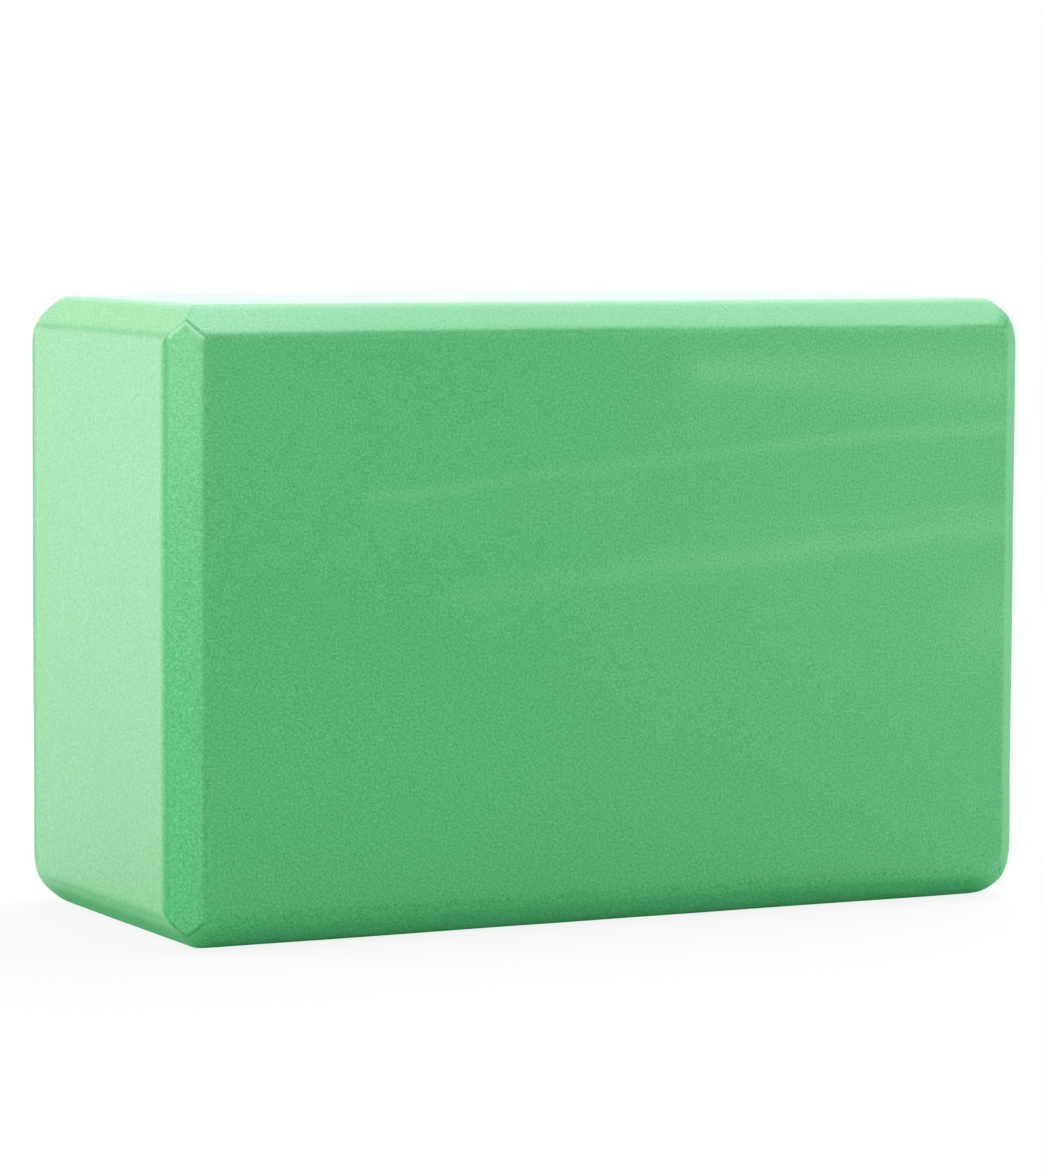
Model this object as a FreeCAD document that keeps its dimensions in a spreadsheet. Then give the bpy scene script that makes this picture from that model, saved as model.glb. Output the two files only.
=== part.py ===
import FreeCAD, Part
import os
import Sketcher

# Yoga block: one solid bar of closed-cell EVA foam with all twelve edges bevelled.
# The bar is sawn from a thick slab of foam, its edges are run past an angled cutter,
# four parallel edges at a time, and the borders of the bevels are buffed soft.
# The bevels meet in mitres at the eight corners, and those creases stay sharp.
# Millimetres, +Z up. The block stands on a long narrow side: X runs along its length,
# Y through its depth, and the origin is the middle of the side that it stands on.

doc = FreeCAD.newDocument("yoga_block")

# Driving dimensions
sheet = doc.addObject("Spreadsheet::Sheet", "sizes")
driving_dimensions = [
    ("block_length", 230, "long side, along X"),
    ("block_depth", 100, "short side, along Y"),
    ("block_height", 150, "middle side, along Z"),
    ("bevel_setback", 7, "from a sawn edge to the border of its bevel"),
    ("border_radius", 3.5, "softening between a flat side and a bevel"),
]
for row, (alias, value, meaning) in enumerate(driving_dimensions, start=1):
    sheet.set(f"A{row}", meaning)
    sheet.set(f"B{row}", str(value))
    sheet.setAlias(f"B{row}", alias)
doc.recompute()

# Sketch shorthand: the two ends of a line, and the sketch's own origin
LINE_START = 1
LINE_END = 2
ORIGIN = (-1, 1)

# The body is drawn about its centre and lifted by half its height to stand on Z = 0.
block = doc.addObject("PartDesign::Body", "foam_block")
block.Label = "foam_block"
block.setExpression("Placement.Base.z", "sizes.block_height / 2")
origin_planes = {feature.Role: feature for feature in block.Origin.OriginFeatures}


def new_sketch(name, plane_role):
    sketch = block.newObject("Sketcher::SketchObject", name)
    sketch.AttachmentSupport = (origin_planes[plane_role], [""])
    sketch.MapMode = "FlatFace"
    return sketch


def add_closed_outline(sketch, points):
    """Lines through the points and back to the first; returns their geometry numbers."""
    ends = points[1:] + points[:1]
    lines = [sketch.addGeometry(Part.LineSegment(*pair), False) for pair in zip(points, ends)]
    for line, following in zip(lines, lines[1:] + lines[:1]):
        sketch.addConstraint(Sketcher.Constraint("Coincident", line, LINE_END, following, LINE_START))
    return lines


def add_bound_distance(sketch, name, kind, from_point, to_point, expression, value):
    """A named distance along the sketch's X or Y that follows the sheet."""
    constraint = Sketcher.Constraint(kind, *from_point, *to_point, value)
    sketch.renameConstraint(sketch.addConstraint(constraint), name)
    sketch.setExpression(f"Constraints.{name}", expression)


def draw_centred_rectangle(sketch, width, height):
    """The section of the sawn bar, centred; width and height are aliases of the sheet."""
    half_width = sheet.get(width) / 2
    half_height = sheet.get(height) / 2
    corners = [
        FreeCAD.Vector(-half_width, -half_height, 0),
        FreeCAD.Vector(half_width, -half_height, 0),
        FreeCAD.Vector(half_width, half_height, 0),
        FreeCAD.Vector(-half_width, half_height, 0),
    ]
    bottom, right, top, left = add_closed_outline(sketch, corners)
    for line in (bottom, top):
        sketch.addConstraint(Sketcher.Constraint("Horizontal", line))
    for line in (right, left):
        sketch.addConstraint(Sketcher.Constraint("Vertical", line))
    sketch.addConstraint(Sketcher.Constraint("Symmetric", bottom, LINE_START, right, LINE_END, *ORIGIN))
    for line, kind, alias in ((bottom, "DistanceX", width), (right, "DistanceY", height)):
        ends = ((line, LINE_START), (line, LINE_END))
        add_bound_distance(sketch, alias, kind, *ends, f"sizes.{alias}", sheet.get(alias))


def draw_edge_wedges(sketch, width, height):
    """A right-angled wedge in each corner of a section: what the cutter takes off that edge."""
    setback = sheet.get("bevel_setback")
    half_width = sheet.get(width) / 2
    half_height = sheet.get(height) / 2
    for corner, (side, level) in enumerate(((-1, -1), (1, -1), (1, 1), (-1, 1))):
        sawn_edge = FreeCAD.Vector(side * half_width, level * half_height, 0)
        points = [
            sawn_edge,
            sawn_edge - FreeCAD.Vector(side * setback, 0, 0),
            sawn_edge - FreeCAD.Vector(0, level * setback, 0),
        ]
        flat_leg, _bevel, upright_leg = add_closed_outline(sketch, points)
        sketch.addConstraint(Sketcher.Constraint("Horizontal", flat_leg))
        sketch.addConstraint(Sketcher.Constraint("Vertical", upright_leg))

        # Both legs are one setback long, measured from the lower coordinate to the higher
        flat_ends = [(flat_leg, LINE_END), (flat_leg, LINE_START)][::side]
        upright_ends = [(upright_leg, LINE_START), (upright_leg, LINE_END)][::level]
        for name, kind, ends in (
            (f"flat_setback_{corner}", "DistanceX", flat_ends),
            (f"upright_setback_{corner}", "DistanceY", upright_ends),
        ):
            add_bound_distance(sketch, name, kind, *ends, "sizes.bevel_setback", setback)

        # The sawn edge lies half the width and half the height from the middle
        edge_point = (flat_leg, LINE_START)
        for name, kind, ends, alias, half in (
            (f"half_width_{corner}", "DistanceX", [ORIGIN, edge_point][::side], width, half_width),
            (f"half_height_{corner}", "DistanceY", [ORIGIN, edge_point][::level], height, half_height),
        ):
            add_bound_distance(sketch, name, kind, *ends, f"sizes.{alias} / 2", half)


def lies_along_an_axis(edge):
    """True for a border between a flat side and a bevel, false for a mitre between bevels."""
    direction = edge.tangentAt(edge.FirstParameter)
    return max(abs(direction.x), abs(direction.y), abs(direction.z)) > 0.999


# The sawn bar
plan = new_sketch("bar_plan", "XY_Plane")
draw_centred_rectangle(plan, "block_length", "block_depth")
bar = block.newObject("PartDesign::Pad", "sawn_bar")
bar.Profile = plan
bar.SideType = "Symmetric"
bar.setExpression("Length", "sizes.block_height")
doc.recompute()

# The bevels, four parallel edges to a pass of the cutter
latest = bar
for pass_name, plane_role, width, height in (
    ("upright_bevels", "XY_Plane", "block_length", "block_depth"),
    ("long_bevels", "YZ_Plane", "block_depth", "block_height"),
    ("short_bevels", "XZ_Plane", "block_length", "block_height"),
):
    section = new_sketch(f"{pass_name}_section", plane_role)
    draw_edge_wedges(section, width, height)
    bevels = block.newObject("PartDesign::Pocket", pass_name)
    bevels.Profile = section
    bevels.Type = "ThroughAll"
    bevels.SideType = "Symmetric"
    doc.recompute()
    if bevels.Shape.Volume >= latest.Shape.Volume:
        raise RuntimeError(f"{pass_name} cut nothing")
    latest = bevels

# The softened borders
borders = [f"Edge{n}" for n, edge in enumerate(latest.Shape.Edges, start=1) if lies_along_an_axis(edge)]
softened = block.newObject("PartDesign::Fillet", "softened_borders")
softened.Base = (latest, borders)
softened.setExpression("Radius", "sizes.border_radius")
doc.recompute()

# Checks before anything is written
for item in doc.Objects:
    if "Invalid" in item.State or "Error" in item.State:
        raise RuntimeError(f"{item.Label} failed: {item.State}")
if block.Shape.isNull() or not block.Shape.isValid():
    raise RuntimeError("foam_block has no valid shape")

os.makedirs("parts", exist_ok=True)
block.Shape.exportStep(f"parts/{block.Label}.step")
print(f"{block.Label}: {block.Shape.Volume / 1000:.1f} cm3, {len(block.Shape.Faces)} faces")
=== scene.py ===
import math

import bpy
from mathutils import Matrix, Vector


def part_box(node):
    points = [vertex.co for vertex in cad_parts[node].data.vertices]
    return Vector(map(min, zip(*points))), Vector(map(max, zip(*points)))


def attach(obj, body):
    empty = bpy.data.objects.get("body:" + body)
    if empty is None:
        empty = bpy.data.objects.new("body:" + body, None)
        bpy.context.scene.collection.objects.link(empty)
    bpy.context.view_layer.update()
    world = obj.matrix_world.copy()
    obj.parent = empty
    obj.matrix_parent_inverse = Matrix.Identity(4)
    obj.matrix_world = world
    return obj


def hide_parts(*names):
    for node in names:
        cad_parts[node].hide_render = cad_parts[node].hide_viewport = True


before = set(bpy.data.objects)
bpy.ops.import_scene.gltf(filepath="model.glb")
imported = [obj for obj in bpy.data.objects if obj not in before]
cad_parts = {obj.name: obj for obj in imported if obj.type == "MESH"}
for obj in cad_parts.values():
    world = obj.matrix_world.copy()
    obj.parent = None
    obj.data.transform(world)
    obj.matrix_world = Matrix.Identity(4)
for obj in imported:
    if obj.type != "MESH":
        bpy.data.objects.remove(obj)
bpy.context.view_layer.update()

# The foam block
# One solid bar of closed-cell EVA foam, dyed green all through and sawn from a thick slab.
# A cutter bevels its twelve edges, four parallel edges to a pass, so the bevels meet in mitres
# at the eight corners, and the borders between flats and bevels are buffed soft.
block_low, block_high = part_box("foam_block")
block_middle = (block_low + block_high) / 2
block_half_size = (block_high - block_low) / 2
bevel_setback = 0.007
foam_green = (0.0597, 0.4357, 0.148)
end_sheen_colour = (0.156, 0.113, 0.125)
handled_corner = Vector((block_low.x, block_low.y, block_high.z))


def feed(tree, socket, value):
    """Links another node's output to a socket, or sets the socket to a plain value."""
    if isinstance(value, bpy.types.NodeSocket):
        tree.links.new(value, socket)
    else:
        socket.default_value = value


def maths(tree, operation, *values):
    """A Math node on numbers or outputs."""
    node = tree.nodes.new("ShaderNodeMath")
    node.operation = operation
    for socket, value in zip(node.inputs, values):
        feed(tree, socket, value)
    return node.outputs["Value"]


def product(tree, first, *others):
    """Several numbers or outputs multiplied together."""
    for other in others:
        first = maths(tree, "MULTIPLY", first, other)
    return first


def with_shares(tree, base, *shares):
    """A base with some values added to it, each times a strength of its own."""
    for value, strength in shares:
        base = maths(tree, "MULTIPLY_ADD", value, strength, base)
    return base


def vectors(tree, operation, *values):
    """A Vector Math node on vectors or outputs; a length or a dot product is a number."""
    node = tree.nodes.new("ShaderNodeVectorMath")
    node.operation = operation
    for socket, value in zip(node.inputs, values):
        feed(tree, socket, value)
    return node.outputs["Value" if operation in ("LENGTH", "DOT_PRODUCT") else "Vector"]


def scaled(tree, vector, factor):
    """A vector times a number."""
    node = tree.nodes.new("ShaderNodeVectorMath")
    node.operation = "SCALE"
    feed(tree, node.inputs["Vector"], vector)
    feed(tree, node.inputs["Scale"], factor)
    return node.outputs["Vector"]


def split_axes(tree, vector):
    """The three parts of a vector."""
    node = tree.nodes.new("ShaderNodeSeparateXYZ")
    tree.links.new(vector, node.inputs["Vector"])
    return [node.outputs[axis] for axis in "XYZ"]


def ramp(tree, value, start, end, low=0.0, high=1.0):
    """A soft step from low to high as the value goes from start to end."""
    node = tree.nodes.new("ShaderNodeMapRange")
    node.interpolation_type = "SMOOTHSTEP"
    limits = {"Value": value, "From Min": start, "From Max": end, "To Min": low, "To Max": high}
    for name, given in limits.items():
        feed(tree, node.inputs[name], given)
    return node.outputs["Result"]


def bell(tree, value, width):
    """One at zero, falling off to nothing a few widths away on either side."""
    share = maths(tree, "DIVIDE", value, width)
    return maths(tree, "EXPONENT", product(tree, share, share, -1.0))


def power_mean(tree, values, sharpness):
    """Close to the greatest of some values, and more where two of them are close; sharper is closer."""
    total = 0.0
    for value in values:
        total = maths(tree, "ADD", total, maths(tree, "POWER", value, sharpness))
    return maths(tree, "POWER", total, maths(tree, "DIVIDE", 1.0, sharpness))


def lumps(tree, where, size, detail=2.0, roughness=0.5):
    """Smooth random values either side of zero, in lumps of the given size in metres."""
    node = tree.nodes.new("ShaderNodeTexNoise")
    tree.links.new(where, node.inputs["Vector"])
    node.inputs["Scale"].default_value = 1 / size
    node.inputs["Detail"].default_value = detail
    node.inputs["Roughness"].default_value = roughness
    return maths(tree, "SUBTRACT", node.outputs["Fac"], 0.5)


def pinholes(tree, where, spacing, radius, share, full_depth_within=0.3):
    """Small round spots, some deeper than others, in the given share of a random pattern's cells."""
    cells = tree.nodes.new("ShaderNodeTexVoronoi")
    tree.links.new(where, cells.inputs["Vector"])
    cells.inputs["Scale"].default_value = 1 / spacing
    chance = tree.nodes.new("ShaderNodeSeparateColor")
    tree.links.new(cells.outputs["Color"], chance.inputs["Color"])
    depth = ramp(tree, chance.outputs["Red"], 1 - share, 1.0)
    rim_distance = radius / spacing
    spot = ramp(tree, cells.outputs["Distance"], rim_distance, full_depth_within * rim_distance)
    return product(tree, spot, depth)


def rub_marks_and_sheen(tree, where):
    """Faint pale strokes left on the front by wiping, stronger to the right, where a painted sheen pales
    all of it.
    """
    wander_height = 0.006
    wander_length = 0.03
    faint_start = 0.4
    wander = scaled(tree, (0, 0, wander_height), lumps(tree, where, wander_length))
    on_front = vectors(tree, "MULTIPLY", vectors(tree, "ADD", where, wander), (1, 0, 1))
    marks = 0.0
    for (start_x, start_z), (end_x, end_z), half_width, strength in (
        ((-0.066, 0.1050), (0.106, 0.1190), 0.0018, 1.05),
        ((-0.040, 0.1070), (-0.066, 0.1050), 0.0022, 0.6),
        ((-0.060, 0.0990), (0.000, 0.1030), 0.0060, 0.3),
        ((-0.044, 0.0810), (0.106, 0.0940), 0.0030, 1.1),
        ((-0.005, 0.0855), (0.055, 0.0905), 0.0050, 0.4),
        ((0.020, 0.0950), (0.106, 0.0980), 0.0014, 0.6),
        ((0.007, 0.1168), (0.037, 0.1234), 0.0020, 0.35),
        ((0.022, 0.1330), (0.106, 0.1305), 0.0055, 1.3),
        ((0.050, 0.1330), (0.022, 0.1335), 0.0040, 1.0),
        ((0.094, 0.0640), (0.104, 0.0700), 0.0100, 0.8),
    ):
        start = Vector((start_x, 0, start_z))
        run = Vector((end_x, 0, end_z)) - start
        offset = vectors(tree, "SUBTRACT", on_front, start)
        share = maths(tree, "DIVIDE", vectors(tree, "DOT_PRODUCT", offset, run), run.length_squared)
        share = maths(tree, "MINIMUM", maths(tree, "MAXIMUM", share, 0.0), 1.0)
        aside = vectors(tree, "LENGTH", vectors(tree, "SUBTRACT", offset, scaled(tree, run, share)))
        fading_in = with_shares(tree, faint_start * strength, (share, (1 - faint_start) * strength))
        marks = with_shares(tree, marks, (bell(tree, aside, half_width), fading_in))

    # A painted sheen pales the front towards the right, less near its foot
    sheen_from = -0.06
    most_sheen = 1.4
    low_part = (0.02, 0.1)
    low_part_share = 0.6
    front_skin = (0.002, 0.0008)
    across, inwards, height = split_axes(tree, where)
    painted_sheen = ramp(tree, across, sheen_from, block_high.x, 0.0, most_sheen)
    marks = with_shares(tree, marks, (painted_sheen, ramp(tree, height, *low_part, low_part_share)))
    behind_front = maths(tree, "SUBTRACT", inwards, block_low.y)
    return product(tree, marks, ramp(tree, behind_front, *front_skin))


def eva_foam_finish():
    """Cut closed-cell foam: a matte grain with pinholes, stronger on the bevels, and faint rub marks,
    with painted shade in the mitres, borders and pinholes, painted sheen on the ends and the front's
    right, and a painted highlight on the upright bevels' rims.
    """
    finish = bpy.data.materials.new("cut_eva_foam")
    finish.use_nodes = True
    tree = finish.node_tree
    surface = tree.nodes["Principled BSDF"]
    where = tree.nodes.new("ShaderNodeTexCoord").outputs["Object"]

    def stored(name):
        """A share that the block's node tree has stored on its points."""
        node = tree.nodes.new("ShaderNodeAttribute")
        node.attribute_name = name
        return node.outputs["Fac"]

    # Grain of the opened cells, stronger on the bevels, where the cutter drags, and fainter on the flats
    # of the ends; some of it shows as white specks
    bevel_grain_strength = 0.55
    grain_lost_on_end_flats = -0.3
    flat_speckle = 0.15
    more_speckle_on_ends = 0.12
    bevel_share = stored("bevel_share")
    sawn_end_and_sheen = stored("sawn_end_and_sheen")
    flat_grain = lumps(tree, where, size=0.00053, detail=1.0)
    bevel_grain = product(tree, lumps(tree, where, size=0.00043, detail=1.0), bevel_share)
    grain = with_shares(tree, flat_grain, (bevel_grain, bevel_grain_strength))
    end_flat = maths(tree, "MAXIMUM", maths(tree, "SUBTRACT", sawn_end_and_sheen, bevel_share), 0.0)
    grain = product(tree, grain, with_shares(tree, 1.0, (end_flat, grain_lost_on_end_flats)))
    speckle = product(tree, grain, with_shares(tree, flat_speckle, (sawn_end_and_sheen, more_speckle_on_ends)))
    pits = pinholes(tree, where, spacing=0.0014, radius=0.00042, share=0.35)

    # Broad cloudiness of the dye, which shows fuller on the freshly cut bevels, and painted shade darkens
    # the pinholes
    cloud = lumps(tree, where, size=0.03, detail=3.0, roughness=0.55)
    rub_and_sheen = rub_marks_and_sheen(tree, where)
    tone = with_shares(
        tree, 1.0, (grain, 0.5), (bevel_share, 0.07), (cloud, 0.06), (pits, -0.22), (rub_and_sheen, 0.02)
    )

    # Painted sheen pales the sawn ends, lighter towards their tops, and the front towards its right; wear
    # pales the rub marks on the front and the handled top corner; a painted highlight pales the upper
    # rims of the upright bevels
    handled_reach = 0.05
    end_sheen_at_foot = 0.88
    end_sheen_at_top = 1.12
    from_corner = vectors(tree, "LENGTH", vectors(tree, "SUBTRACT", where, handled_corner))
    off_end = maths(tree, "MAXIMUM", maths(tree, "SUBTRACT", bevel_share, sawn_end_and_sheen), 0.0)
    handled = product(tree, bell(tree, from_corner, handled_reach), off_end)
    pale = with_shares(tree, speckle, (rub_and_sheen, 0.03), (handled, 0.09), (stored("painted_rim_highlight"), 0.35))
    height = split_axes(tree, where)[2]
    # Painted sheen on the sawn ends, lighter towards the top
    end_sheen = ramp(tree, height, block_low.z, block_high.z, end_sheen_at_foot, end_sheen_at_top)
    end_sheen = product(tree, sawn_end_and_sheen, end_sheen)
    colour_with_painted_sheen = vectors(tree, "ADD", scaled(tree, foam_green, tone), scaled(tree, end_sheen_colour, end_sheen))
    paled = vectors(tree, "ADD", colour_with_painted_sheen, scaled(tree, (1, 1, 1), pale))

    # Painted shade darkens the grooves in the mitres and the cutter's fine line along the bevels' borders
    painted_shading = with_shares(tree, 1.0, (stored("painted_crease_shade"), -0.4), (stored("border_line_and_shade"), -0.15))
    feed(tree, surface.inputs["Base Color"], scaled(tree, paled, painted_shading))

    # The grain scatters the little gloss that the foam has, and grain and pinholes break up its surface
    mean_roughness = 0.5
    feed(tree, surface.inputs["Roughness"], with_shares(tree, mean_roughness, (grain, 0.3)))
    bump = tree.nodes.new("ShaderNodeBump")
    bump.inputs["Strength"].default_value = 0.25
    bump.inputs["Distance"].default_value = 0.0002
    feed(tree, bump.inputs["Height"], with_shares(tree, grain, (pits, -0.6)))
    feed(tree, surface.inputs["Normal"], bump.outputs["Normal"])
    surface.inputs["Diffuse Roughness"].default_value = 0.4
    surface.inputs["Specular IOR Level"].default_value = 0.6
    return finish


def bevelled_block_tree():
    """A fine cube of points drawn out to the block, its zone along each edge pulled in to a bevel."""
    tree = bpy.data.node_groups.new("bevelled_block", "GeometryNodeTree")
    tree.is_modifier = True
    for name, kind in (
        ("Middle", "NodeSocketVector"),
        ("Half Size", "NodeSocketVector"),
        ("Flat Steps", "NodeSocketVector"),
        ("Edge Steps", "NodeSocketInt"),
        ("Edge Zone", "NodeSocketFloat"),
        ("Bevel Setback", "NodeSocketFloat"),
        ("Bevel Drift", "NodeSocketFloat"),
        ("Border Sharpness", "NodeSocketFloat"),
        ("Border Roll Depth", "NodeSocketFloat"),
        ("Border Roll Width", "NodeSocketFloat"),
        ("Border Line Depth", "NodeSocketFloat"),
        ("Border Line Width", "NodeSocketFloat"),
        ("Mitre Sharpness", "NodeSocketFloat"),
        ("Sharp Edge", "NodeSocketVector"),
        ("Sharp Edge Mitre Sharpness", "NodeSocketFloat"),
        ("Lower Ridge Sharpness", "NodeSocketFloat"),
        ("Groove Depth", "NodeSocketFloat"),
        ("Upright Groove Width", "NodeSocketFloat"),
        ("Level Groove Width", "NodeSocketFloat"),
        ("Wave Height", "NodeSocketFloat"),
        ("Finish", "NodeSocketMaterial"),
    ):
        tree.interface.new_socket(name, in_out="INPUT", socket_type=kind)
    tree.interface.new_socket("Geometry", in_out="OUTPUT", socket_type="NodeSocketGeometry")
    given = tree.nodes.new("NodeGroupInput").outputs

    # The cube's grid: even steps over the flat of each side, and finer ones over the zone along edges
    all_steps = vectors(tree, "ADD", given["Flat Steps"], scaled(tree, (2, 2, 2), given["Edge Steps"]))
    flat_share = vectors(tree, "DIVIDE", given["Flat Steps"], all_steps)
    point_counts = split_axes(tree, vectors(tree, "ADD", all_steps, (1, 1, 1)))
    cube = tree.nodes.new("GeometryNodeMeshCube")
    cube.inputs["Size"].default_value = (2, 2, 2)
    for axis, count in zip("XYZ", point_counts):
        tree.links.new(count, cube.inputs[f"Vertices {axis}"])

    # A point is a core point, on the box that lies one edge zone inside the sides, and a reach out from
    # it; the greatest part of its reach is the whole zone, and the second says how near it is to an edge
    position = tree.nodes.new("GeometryNodeInputPosition").outputs["Position"]
    side = vectors(tree, "SIGN", position)
    away = vectors(tree, "ABSOLUTE", position)
    zone = given["Edge Zone"]
    core_size = vectors(tree, "SUBTRACT", given["Half Size"], scaled(tree, (1, 1, 1), zone))
    core = vectors(tree, "DIVIDE", vectors(tree, "MINIMUM", away, flat_share), flat_share)
    core = vectors(tree, "MULTIPLY", core, core_size)
    beyond = vectors(tree, "MAXIMUM", vectors(tree, "SUBTRACT", away, flat_share), (0, 0, 0))
    edge_share = vectors(tree, "SUBTRACT", (1, 1, 1), flat_share)
    reach = scaled(tree, vectors(tree, "DIVIDE", beyond, edge_share), zone)
    along_x, along_y, along_z = split_axes(tree, reach)
    upper_half = split_axes(tree, side)[2]
    below = product(tree, along_z, upper_half, -1.0)
    least = maths(tree, "MINIMUM", along_x, maths(tree, "MINIMUM", along_y, along_z))
    total = maths(tree, "ADD", along_x, maths(tree, "ADD", along_y, along_z))
    second = maths(tree, "SUBTRACT", maths(tree, "SUBTRACT", total, least), zone)

    on_sharp_edge = vectors(tree, "DOT_PRODUCT", side, given["Sharp Edge"])

    def by_sharp_edge(elsewhere, there):
        """The first value in most of the block, and the second in the quarter round the sharp edge."""
        return ramp(tree, on_sharp_edge, 1.0, 2.0, elsewhere, there)

    # A bevel plane loads a point by the two parts of its reach that it runs across, and a side by one of
    # them; the point is drawn in until a power mean of its loads is one, which buffs mitres and borders
    # round, the bottom borders most; along one upright edge its mitres stay sharp, and so does the ridge
    # above it, and less so the one below it
    drift_length = 0.05
    bottom_border_share = 0.6
    drift = lumps(tree, vectors(tree, "MULTIPLY", core, side), drift_length)
    setback = with_shares(tree, given["Bevel Setback"], (drift, given["Bevel Drift"]))
    allowed = maths(tree, "SUBTRACT", product(tree, zone, 2.0), setback)
    side_loads = [maths(tree, "DIVIDE", part, zone) for part in (along_x, along_y, along_z)]
    upright_load, long_load, short_load = [
        maths(tree, "DIVIDE", maths(tree, "ADD", first, other), allowed)
        for first, other in ((along_x, along_y), (along_y, along_z), (along_x, along_z))
    ]
    rounded = given["Mitre Sharpness"]
    sharp = given["Sharp Edge Mitre Sharpness"]
    sharp_ridge = ramp(tree, upper_half, -1.0, 1.0, given["Lower Ridge Sharpness"], sharp)
    level_load = power_mean(tree, [long_load, short_load], by_sharp_edge(rounded, sharp_ridge))
    bevel_load = power_mean(tree, [level_load, upright_load], by_sharp_edge(rounded, sharp))
    kept_sharp = ramp(tree, below, 0.0, given["Bevel Setback"], 1.0, bottom_border_share)
    border_sharpness = product(tree, given["Border Sharpness"], kept_sharp)
    load = power_mean(tree, [bevel_load, *side_loads], border_sharpness)
    kept = maths(tree, "DIVIDE", 1.0, load)

    # How far a point lies past the border of its side, and so how much of it is on a bevel
    bevel_fade = (-0.0008, 0.0012)
    border = maths(tree, "SUBTRACT", zone, given["Bevel Setback"])
    past_border = maths(tree, "SUBTRACT", second, border)
    bevel_share = ramp(tree, past_border, *bevel_fade)

    # The upright bevels are cut last, and their ends roll down into a groove along the level bevels,
    # deepest at the sharp edge; painted shade darkens the groove, least at that edge's upper end, and a
    # painted highlight pales the upright bevels' side of the groove at their upper ends
    groove_fade = (-0.0003, 0.0008)
    crease_shade_fade = (0.25, 0.9)
    rim_highlight_fade = (0.0001, 0.0006)
    less_shade_at_gable = -0.7
    other_groove_share = 0.3
    on_upright = maths(tree, "SUBTRACT", maths(tree, "MINIMUM", along_x, along_y), along_z)
    on_level = product(tree, on_upright, -1.0)
    up_share = maths(tree, "DIVIDE", on_upright, given["Upright Groove Width"])
    level_share = maths(tree, "DIVIDE", on_level, given["Level Groove Width"])
    from_mitre = maths(tree, "MAXIMUM", up_share, level_share)
    groove = maths(tree, "MAXIMUM", maths(tree, "SUBTRACT", 1.0, from_mitre), 0.0)
    groove = product(tree, groove, groove, ramp(tree, past_border, *groove_fade))
    at_gable = ramp(tree, maths(tree, "ADD", on_sharp_edge, upper_half), 2.0, 3.0)
    # Painted shade darkens the deeper part of the groove
    painted_crease_shade = ramp(tree, groove, *crease_shade_fade)
    painted_crease_shade = product(tree, painted_crease_shade, with_shares(tree, 1.0, (at_gable, less_shade_at_gable)))
    groove = product(tree, groove, by_sharp_edge(other_groove_share, 1.0))
    # Painted highlight on the upright bevels' side of the groove, at their upper ends only
    upper_only = maths(tree, "MAXIMUM", upper_half, 0.0)
    painted_rim_highlight = product(tree, groove, ramp(tree, on_upright, *rim_highlight_fade), upper_only)

    # The ends are sawn across the slab, and so are the bevels along their tops, up to the mitres; painted
    # sheen pales them, and is kept off beside their borders
    end_fade = (0.006, 0.0075)
    bottom_fade = (0.0135, 0.006)
    upright_fade = (0.0058, 0.0030)
    mitre_fade = (-0.0003, 0.0003)
    line_end_fade = (0.004, 0.0)
    end_border_width = 0.0011
    sheen_lost_at_end_border = -0.45
    off_upright = ramp(tree, maths(tree, "SUBTRACT", along_z, along_y), *mitre_fade)
    off_upright = maths(tree, "MAXIMUM", off_upright, ramp(tree, along_y, *upright_fade))
    off_front = ramp(tree, maths(tree, "SUBTRACT", along_x, along_y), *mitre_fade)
    off_mitres = product(tree, off_upright, off_front)
    sawn_end_and_sheen = product(tree, ramp(tree, along_x, *end_fade), ramp(tree, below, *bottom_fade), off_mitres)
    widest = maths(tree, "MAXIMUM", along_x, along_y)
    onto_top = with_shares(tree, product(tree, widest, -1.0), (along_z, upper_half))
    below_top = ramp(tree, onto_top, *line_end_fade)
    end_border = product(tree, bell(tree, past_border, end_border_width), below_top)
    sawn_end_and_sheen = product(tree, sawn_end_and_sheen, with_shares(tree, 1.0, (end_border, sheen_lost_at_end_border)))

    # The cutter leaves a fine line along the level borders under the top, broken here and there, and
    # along the sharp edge; its shade is also painted darker into the colour
    break_length = 0.02
    break_fade = (-0.03, 0.1)
    level_fade = (-0.001, 0.001)
    sharp_edge_line = 0.7
    surface_place = vectors(tree, "MULTIPLY", vectors(tree, "ADD", core, reach), side)
    unbroken = ramp(tree, lumps(tree, surface_place, break_length), *break_fade)
    unbroken = maths(tree, "MAXIMUM", unbroken, by_sharp_edge(0.0, sharp_edge_line))
    # The real sunken line, whose shade the finish also paints darker
    border_line_and_shade = product(tree, bell(tree, past_border, given["Border Line Width"]), unbroken)
    lined = maths(tree, "MAXIMUM", ramp(tree, on_level, *level_fade), by_sharp_edge(0.0, 1.0))
    off_end = maths(tree, "SUBTRACT", 1.0, sawn_end_and_sheen)
    lined = product(tree, lined, off_end, ramp(tree, below, *line_end_fade))
    border_line_and_shade = product(tree, border_line_and_shade, product(tree, lined, below_top))

    # It presses the flats down beside all borders, and the sides have shallow waves
    wave_length = 0.045
    roll = maths(tree, "DIVIDE", past_border, given["Border Roll Width"])
    roll = maths(tree, "MAXIMUM", maths(tree, "ADD", maths(tree, "MINIMUM", roll, 0.0), 1.0), 0.0)
    roll = product(tree, roll, roll)
    wave = maths(tree, "ADD", lumps(tree, surface_place, wave_length), 0.5)
    sunk = with_shares(
        tree,
        0.0,
        (groove, given["Groove Depth"]),
        (border_line_and_shade, given["Border Line Depth"]),
        (roll, given["Border Roll Depth"]),
        (wave, given["Wave Height"]),
    )
    kept = maths(tree, "SUBTRACT", kept, maths(tree, "DIVIDE", sunk, vectors(tree, "LENGTH", reach)))
    outward = vectors(tree, "ADD", core, scaled(tree, reach, kept))
    place = vectors(tree, "ADD", given["Middle"], vectors(tree, "MULTIPLY", outward, side))

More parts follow.
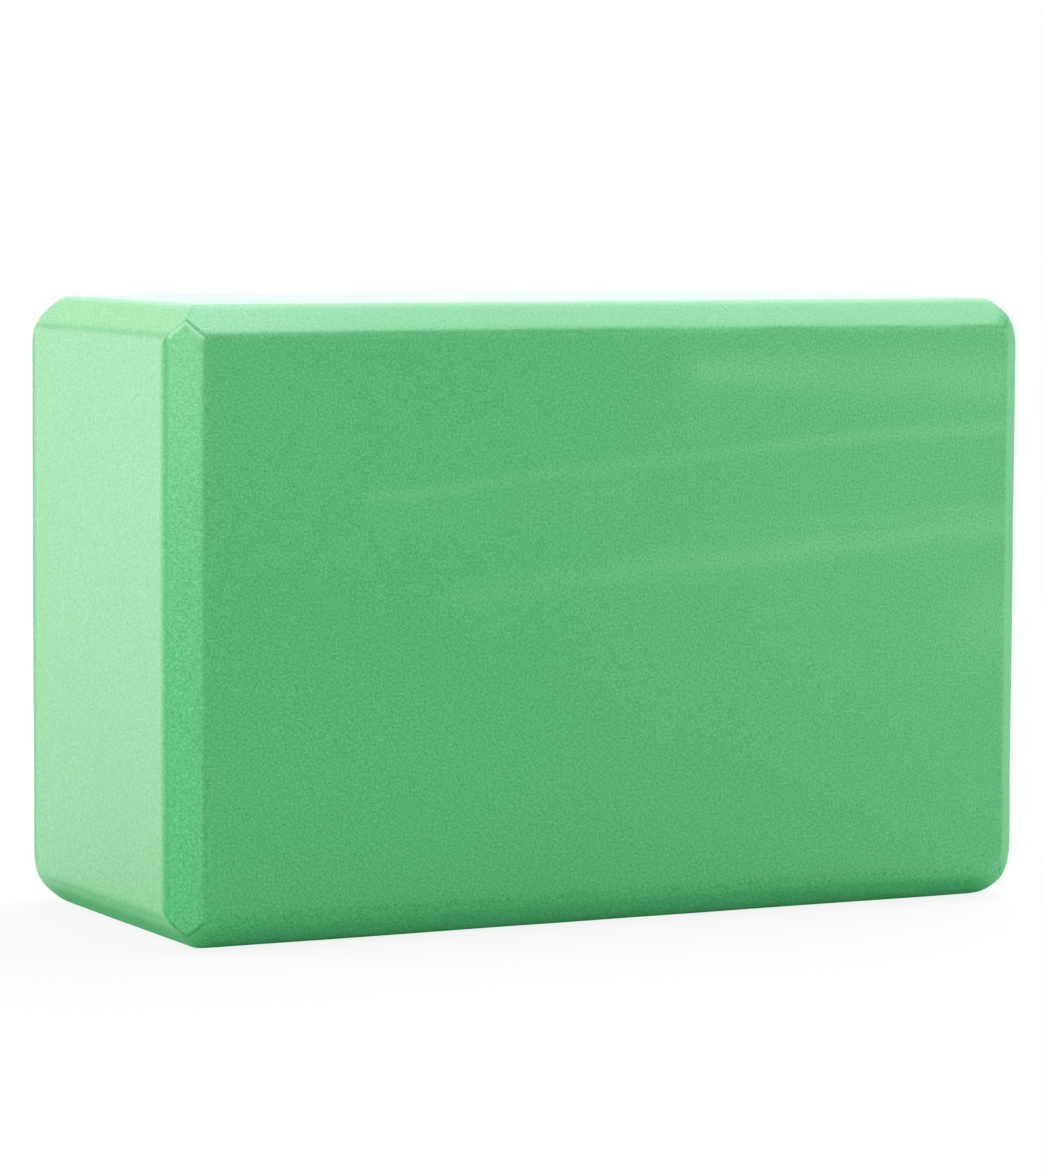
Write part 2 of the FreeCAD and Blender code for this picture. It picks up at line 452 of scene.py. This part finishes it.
    # The finish reads where these features are, so they are stored while the grid is still a cube
    shape = cube.outputs["Mesh"]
    for name, value in (
        ("bevel_share", bevel_share),
        ("border_line_and_shade", border_line_and_shade),
        ("painted_crease_shade", painted_crease_shade),
        ("painted_rim_highlight", painted_rim_highlight),
        ("sawn_end_and_sheen", sawn_end_and_sheen),
    ):
        store = tree.nodes.new("GeometryNodeStoreNamedAttribute")
        store.inputs["Name"].default_value = name
        tree.links.new(shape, store.inputs["Geometry"])
        tree.links.new(value, store.inputs["Value"])
        shape = store.outputs["Geometry"]
    move = tree.nodes.new("GeometryNodeSetPosition")
    tree.links.new(shape, move.inputs["Geometry"])
    tree.links.new(place, move.inputs["Position"])

    # Each square is split along its shorter diagonal, which runs along the mitres
    split = tree.nodes.new("GeometryNodeTriangulate")
    split.quad_method = "SHORTEST_DIAGONAL"
    smooth = tree.nodes.new("GeometryNodeSetShadeSmooth")
    realize = tree.nodes.new("GeometryNodeRealizeInstances")
    dress = tree.nodes.new("GeometryNodeSetMaterial")
    tree.links.new(given["Finish"], dress.inputs["Material"])
    end = tree.nodes.new("NodeGroupOutput")
    chain = [move, split, smooth, realize, dress, end]
    for first, following in zip(chain, chain[1:]):
        tree.links.new(first.outputs[0], following.inputs[0])
    return tree


block_tree = bevelled_block_tree()
block = bpy.data.objects.new("bevelled_foam_block", bpy.data.meshes.new("bevelled_foam_block"))
bpy.context.collection.objects.link(block)
shaping = block.modifiers.new("bevelled_block", "NODES")
shaping.node_group = block_tree
for name, value in (
    ("Middle", block_middle),
    ("Half Size", block_half_size),
    ("Flat Steps", (40, 16, 26)),
    ("Edge Steps", 46),
    ("Edge Zone", 0.014),
    ("Bevel Setback", bevel_setback),
    ("Bevel Drift", 0.0008),
    ("Border Sharpness", 32.0),
    ("Border Roll Depth", 0.00012),
    ("Border Roll Width", 0.003),
    ("Border Line Depth", 0.0001),
    ("Border Line Width", 0.0007),
    ("Mitre Sharpness", 11.0),
    ("Sharp Edge", (-1, -1, 0)),
    ("Sharp Edge Mitre Sharpness", 100.0),
    ("Lower Ridge Sharpness", 20.0),
    ("Groove Depth", 0.0002),
    ("Upright Groove Width", 0.0026),
    ("Level Groove Width", 0.001),
    ("Wave Height", 0.0003),
    ("Finish", eva_foam_finish()),
):
    shaping[block_tree.interface.items_tree[name].identifier] = value
view_layer = bpy.context.view_layer
view_layer.update()
shaped_block = block.evaluated_get(bpy.context.evaluated_depsgraph_get())
block.data = bpy.data.meshes.new_from_object(shaped_block)
block.modifiers.remove(shaping)
# The cube's own material slot comes first and is empty
block.data.materials.pop(index=0)
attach(block, "root")
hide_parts("foam_block")

# The floor
# A broad sheet of white studio paper under the block, which takes its soft shadow.
# To the eye it is part white glow, fully so further out, so that no far edge or change of light shows.
floor_half_width = 6.0
shadow_reach = 0.35
plain_white_from = 0.9
near_glow = 0.87
paper_white = (0.75, 0.75, 0.75, 1.0)


def seen_directly(tree):
    """One for rays from the camera and for those that come by way of gloss or glass."""
    path = tree.nodes.new("ShaderNodeLightPath").outputs
    by_gloss = maths(tree, "MAXIMUM", path["Is Glossy Ray"], path["Is Transmission Ray"])
    return maths(tree, "MAXIMUM", path["Is Camera Ray"], by_gloss)


def studio_paper_finish():
    """Matte white paper that glows to the eye, in part close to the block and wholly further out."""
    finish = bpy.data.materials.new("studio_paper")
    finish.use_nodes = True
    tree = finish.node_tree
    paper = tree.nodes["Principled BSDF"]
    paper.inputs["Base Color"].default_value = paper_white
    paper.inputs["Roughness"].default_value = 0.9
    paper.inputs["Specular IOR Level"].default_value = 0.0
    white = tree.nodes.new("ShaderNodeEmission")
    where = tree.nodes.new("ShaderNodeTexCoord").outputs["Object"]
    far_glow = ramp(tree, vectors(tree, "LENGTH", where), shadow_reach, plain_white_from)
    far_glow = product(tree, far_glow, seen_directly(tree))
    from_camera = tree.nodes.new("ShaderNodeLightPath").outputs["Is Camera Ray"]
    glow = maths(tree, "MAXIMUM", far_glow, product(tree, from_camera, near_glow))
    mix = tree.nodes.new("ShaderNodeMixShader")
    tree.links.new(glow, mix.inputs["Fac"])
    tree.links.new(paper.outputs["BSDF"], mix.inputs[1])
    tree.links.new(white.outputs["Emission"], mix.inputs[2])
    tree.links.new(mix.outputs["Shader"], tree.nodes["Material Output"].inputs["Surface"])
    return finish


floor_corners = [
    (x * floor_half_width, y * floor_half_width, block_low.z)
    for x, y in ((-1, -1), (1, -1), (1, 1), (-1, 1))
]
floor_mesh = bpy.data.meshes.new("studio_floor")
floor_mesh.from_pydata(floor_corners, [], [(0, 1, 2, 3)])
floor_mesh.materials.append(studio_paper_finish())
floor = bpy.data.objects.new("studio_floor", floor_mesh)
bpy.context.collection.objects.link(floor)

# The studio light
# A pale room, white where it is seen directly, and large softboxes turned towards the block.
# They stand round it at one distance, each on its bearing from +X and its angle above the level.
room_strength = 0.2
softbox_distance = 1.6
softbox_width = 1.0
world = bpy.data.worlds.new("white_studio")
world.use_nodes = True
bpy.context.scene.world = world
room_tree = world.node_tree
room = room_tree.nodes["Background"]
room.inputs["Color"].default_value = (1.0, 1.0, 1.0, 1.0)
white_to_the_eye = product(room_tree, seen_directly(room_tree), 1.0 - room_strength)
feed(room_tree, room.inputs["Strength"], maths(room_tree, "ADD", white_to_the_eye, room_strength))

for name, bearing, height_angle, power in (
    ("top_softbox", 20, 60, 15.3),
    ("key_softbox", -150, 8, 10.4),
    ("left_softbox", 158, 27, 12.5),
    ("top_right_softbox", -10, 63, 9.1),
    ("top_back_softbox", 52, 43, 7.9),
    ("high_back_softbox", 80, 40, 2.0),
    ("back_softbox", 63, 6, 11.0),
    ("back_left_softbox", 135, 6, 5.4),
    ("back_right_softbox", 27, 5, 1.5),
    ("front_softbox", -90, 14, 4.2),
    ("front_right_softbox", -60, 30, 2.7),
):
    lamp_data = bpy.data.lights.new(name, "AREA")
    lamp_data.size = softbox_width
    lamp_data.energy = power
    lamp = bpy.data.objects.new(name, lamp_data)
    bearing_angle = math.radians(bearing)
    rise = math.radians(height_angle)
    level_reach = math.cos(rise)
    outwards = Vector((
        math.cos(bearing_angle) * level_reach, math.sin(bearing_angle) * level_reach, math.sin(rise)
    ))
    lamp.location = block_middle + outwards * softbox_distance
    lamp.rotation_euler = outwards.to_track_quat("Z", "Y").to_euler()
    bpy.context.collection.objects.link(lamp)

# The camera
# A long lens close to the floor, off the block's near left corner, as in the photograph.
# Its turn is from +Y towards +X, its dip is below the level, and its tilt is about its own line of sight.
camera_place = Vector((-0.5451, -1.0814, 0.1791))
camera_turn = math.radians(26.68)
camera_dip = math.radians(4.791)
camera_tilt = math.radians(0.256)
lens_length = 149.95
camera_data = bpy.data.cameras.new("photo_camera")
camera_data.lens = lens_length
camera = bpy.data.objects.new("photo_camera", camera_data)
camera.matrix_world = (
    Matrix.Translation(camera_place)
    @ Matrix.Rotation(-camera_turn, 4, "Z")
    @ Matrix.Rotation(math.pi / 2 - camera_dip, 4, "X")
    @ Matrix.Rotation(camera_tilt, 4, "Z")
)
bpy.context.collection.objects.link(camera)
bpy.context.scene.camera = camera
bpy.context.scene.view_settings.view_transform = "Standard"

view_layer.update()
